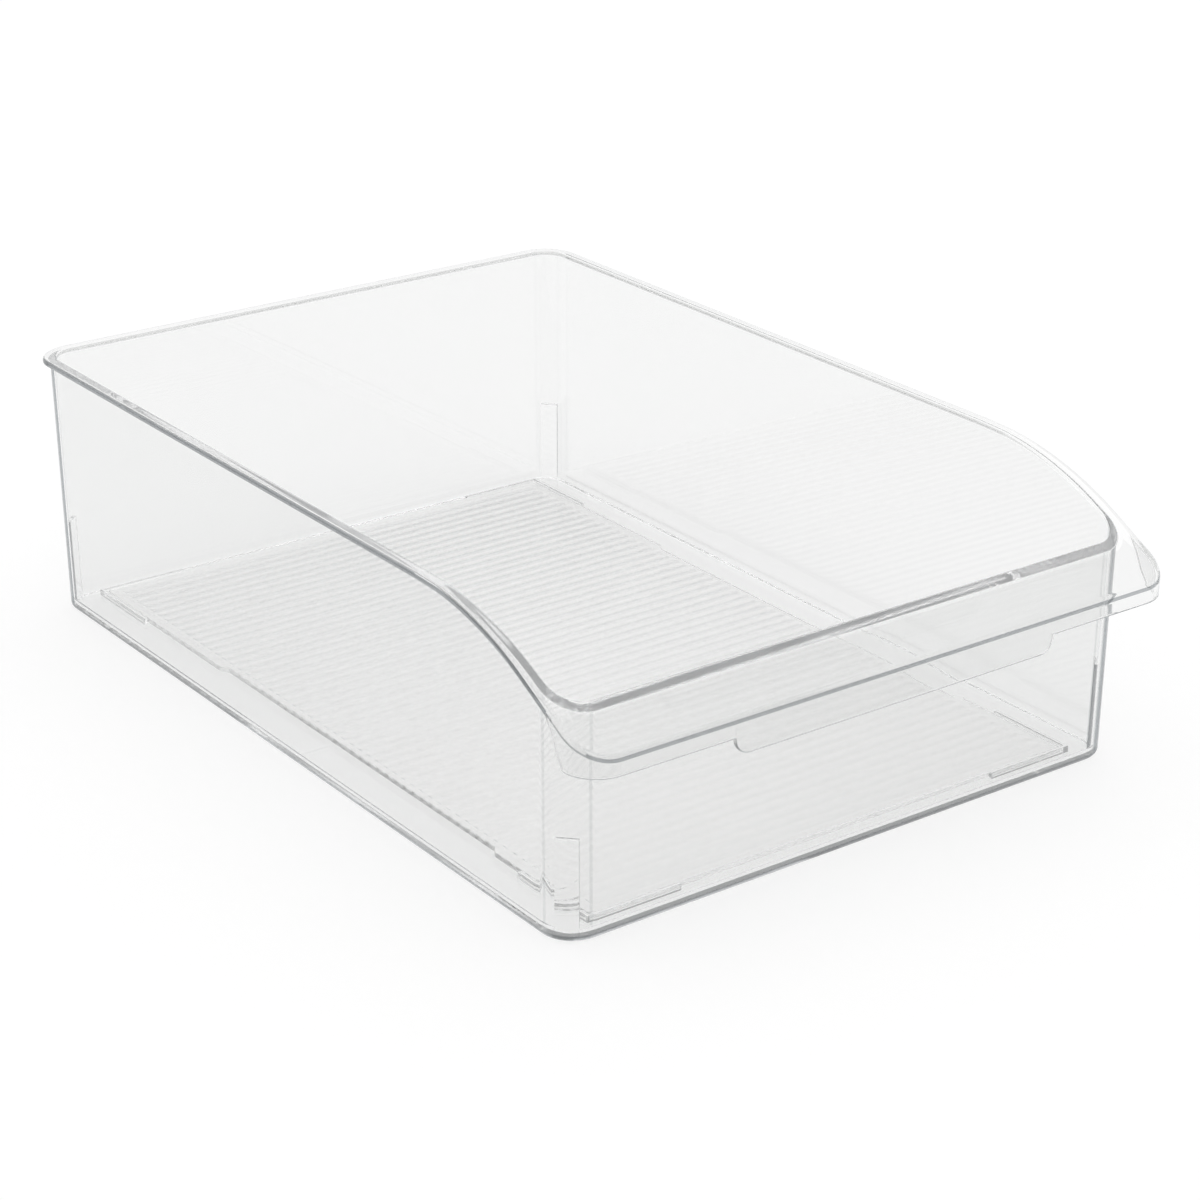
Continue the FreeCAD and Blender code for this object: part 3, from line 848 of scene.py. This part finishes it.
def make_camera():
    """A camera that looks down at the near left corner, as one looks at a bin on a low shelf."""
    away = Vector((
        -math.sin(CAMERA_AZIMUTH) * math.cos(CAMERA_ELEVATION),
        -math.cos(CAMERA_AZIMUTH) * math.cos(CAMERA_ELEVATION),
        math.sin(CAMERA_ELEVATION),
    ))
    data = bpy.data.cameras.new("camera")
    data.sensor_width = SENSOR_WIDTH
    data.lens = LENS
    camera = bpy.data.objects.new("camera", data)
    camera.location = CAMERA_AIM + away * CAMERA_DISTANCE
    camera.rotation_euler = (-away).to_track_quat("-Z", "Y").to_euler()
    bpy.context.scene.collection.objects.link(camera)
    bpy.context.scene.camera = camera


def set_light_paths():
    """Enough bounces for a ray to pass every wall of a clear bin, and colours shown as they are."""
    scene = bpy.context.scene
    scene.cycles.max_bounces = 44
    scene.cycles.transmission_bounces = 28
    scene.cycles.glossy_bounces = 44
    scene.view_settings.view_transform = "Standard"


# Kinds of the plastic, all with painted shade: the tub's dark edges, bands and lines stand in for the
# dark edges that a studio gives clear plastic.
# Upright walls: a darker tint than level faces, which is painted shade, and a dark painted edge
# colour.
wall_plastic = Plastic(
    index=1.53, tint=(0.828, 0.831, 0.826), edge_tint=(0.3, 0.33, 0.35), edge_range=(0.62, 0.95),
    inside=(0.984, 0.985, 0.986), haze=CLEAR_HAZE, edge_haze=CLEAR_HAZE, glow=0.009,
    roughness=(0.008, 0.02), wave=(22.0, 0.002 * MM),
)
# Level faces: the same plastic with a lighter tint than the upright walls.
level_plastic = wall_plastic._replace(tint=(0.96, 0.962, 0.957))
# Outer corners: a painted dark band where the corner is seen edge-on, shown as flat grey by the edge
# haze.
corner_plastic = wall_plastic._replace(
    edge_tint=(0.24, 0.265, 0.28), edge_range=(0.46, 0.64), edge_haze=0.65,
)
# Rim's outer edge: a painted dark band, half of it shown as flat grey.
rim_plastic = wall_plastic._replace(
    tint=(0.2, 0.215, 0.225), edge_tint=(0.15, 0.165, 0.175), haze=0.5, edge_haze=0.6,
)
# Post flanks: painted dark lines down the sides of the nesting posts.
flank_plastic = wall_plastic._replace(
    tint=(0.3, 0.32, 0.34), inside=(0.25, 0.27, 0.28), haze=0.6, edge_haze=0.6,
)
# Start of an inner corner's bend: a dark inside colour that paints a fine shaded line.
bend_plastic = wall_plastic._replace(inside=(0.7, 0.715, 0.72))
# Lip's bend, hems and foot's round: a dark tint that paints shaded lines along them.
fold_plastic = wall_plastic._replace(tint=(0.2, 0.215, 0.225), edge_tint=(0.15, 0.165, 0.175))
# Liner: a lighter painted edge shade than the tub's, and no painted glow.
liner_plastic = level_plastic._replace(
    index=1.25, tint=(0.998, 0.998, 0.993), edge_tint=(0.86, 0.86, 0.86), edge_range=(0.58, 0.9),
    inside=(0.998, 0.998, 0.998), haze=0.05, edge_haze=0.05, glow=0.0, roughness=(0.03, 0.08),
    wave=(40.0, 0.01 * MM),
)

# In the order in which region() counts them.
tub_painted_shades = {
    "clear_wall": wall_plastic, "clear_corner": corner_plastic, "clear_rim": rim_plastic,
    "clear_flank": flank_plastic, "clear_level": level_plastic, "clear_bend": bend_plastic,
    "clear_fold": fold_plastic,
}

tub = make_tub([clear_plastic(name, kind) for name, kind in tub_painted_shades.items()])
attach(tub, "tub")
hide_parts("bin_tub")

liner = make_liner(clear_plastic("clear_liner", liner_plastic))
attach(liner, "liner")
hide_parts("ribbed_liner")

make_floor()
make_light()
make_camera()
set_light_paths()
